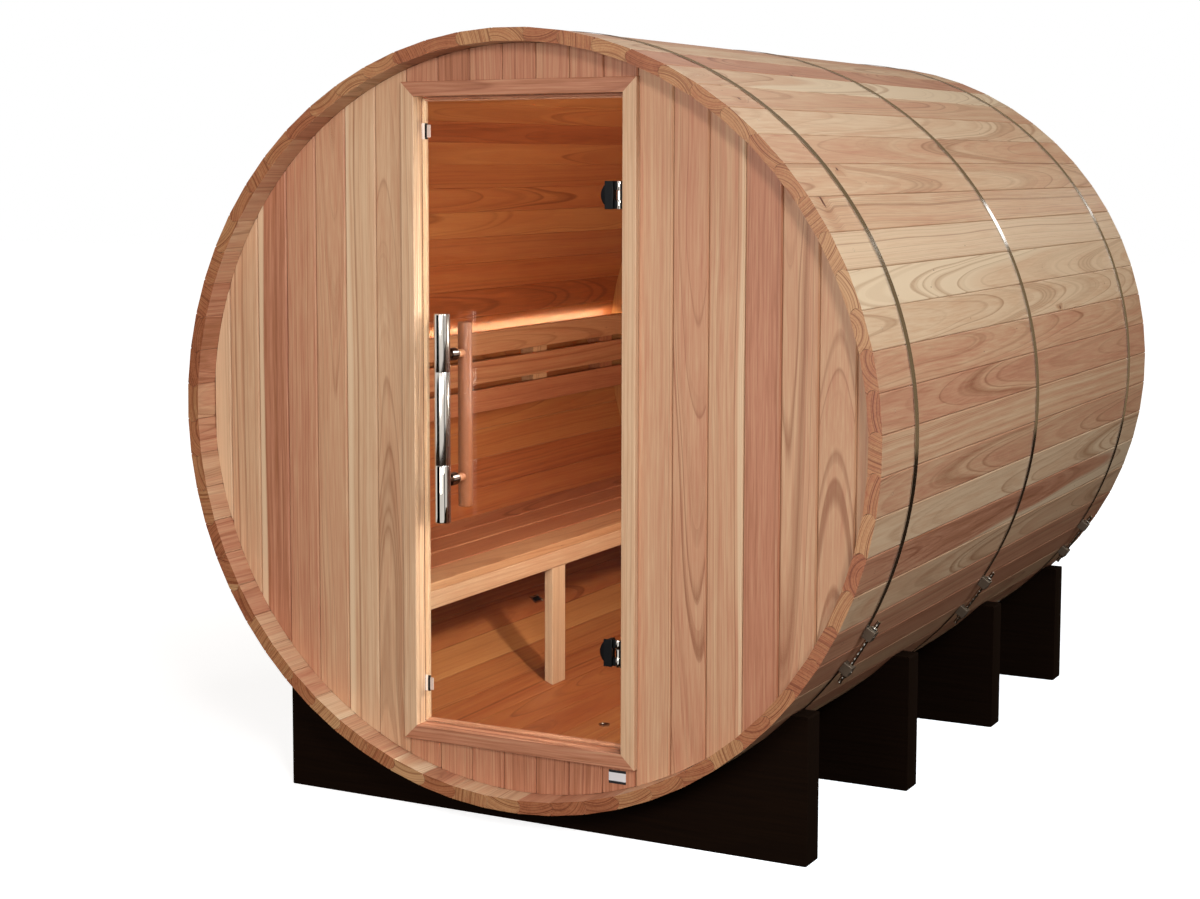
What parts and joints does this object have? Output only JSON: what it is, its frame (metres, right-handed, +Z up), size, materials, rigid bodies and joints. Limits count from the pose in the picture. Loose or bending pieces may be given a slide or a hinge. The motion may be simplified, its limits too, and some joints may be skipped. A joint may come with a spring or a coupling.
{
  "type": "barrel sauna",
  "caption": "Horizontal cedar barrel sauna on four dark cradle boards, with steel hoops and a glass door in a recessed board wall; slatted bench inside.",
  "frame": {"origin": "centre of the footprint at ground level, at mid-length of the barrel", "axes": "+X to the right seen from the front, +Y from the door to the back wall along the barrel's axis, +Z up"},
  "size_m": [1.8329, 2.36, 1.8939],
  "materials": {
    "stave_cedar": "planed cedar",
    "wall_cedar": "planed cedar",
    "trim_cedar": "planed cedar",
    "bench_cedar": "planed cedar",
    "hoop_steel": "satin",
    "black_stain": "black stain",
    "chrome": "polished",
    "black_metal": "satin black",
    "glass": "clear",
    "light": "warm white diffuser",
    "label": "plain"
  },
  "bodies": {
    "sauna": {"staves_top": "stave_cedar", "staves_upper_left": "stave_cedar", "staves_left": "stave_cedar", "staves_lower_left": "stave_cedar", "staves_bottom": "stave_cedar", "staves_lower_right": "stave_cedar", "staves_right": "stave_cedar", "staves_upper_right": "stave_cedar", "front_wall_left": "wall_cedar", "front_wall_right": "wall_cedar", "front_wall_top": "wall_cedar", "front_wall_bottom": "wall_cedar", "back_wall": "wall_cedar", "door_frame": "trim_cedar", "door_casing": "trim_cedar", "door_stop": "trim_cedar", "bench_rails": "trim_cedar", "bench_posts": "trim_cedar", "bench_slats": "bench_cedar", "backrest_slats": "bench_cedar", "backrest_cleats": "bench_cedar", "hoop_front": "hoop_steel", "hoop_middle": "hoop_steel", "hoop_back": "hoop_steel", "cradle_1": "black_stain", "cradle_2": "black_stain", "cradle_3": "black_stain", "cradle_4": "black_stain", "hinge_frame_upper": "chrome", "hinge_frame_lower": "chrome", "door_catches": "black_metal", "light_strip": "light", "label_plate": "label"},
    "door": {"door_glass": "glass", "hinge_door_upper": "black_metal", "hinge_door_lower": "black_metal", "door_handle": "chrome", "door_grip": "trim_cedar", "door_strikes": "chrome"}
  },
  "joints": [
    {"name": "door_hinge", "type": "hinge", "parent": "sauna", "child": "door", "pos_m": [0.262, -1.112, 0.98], "axis": [0, 0, 1], "range_deg": [0, 105]}
  ]
}
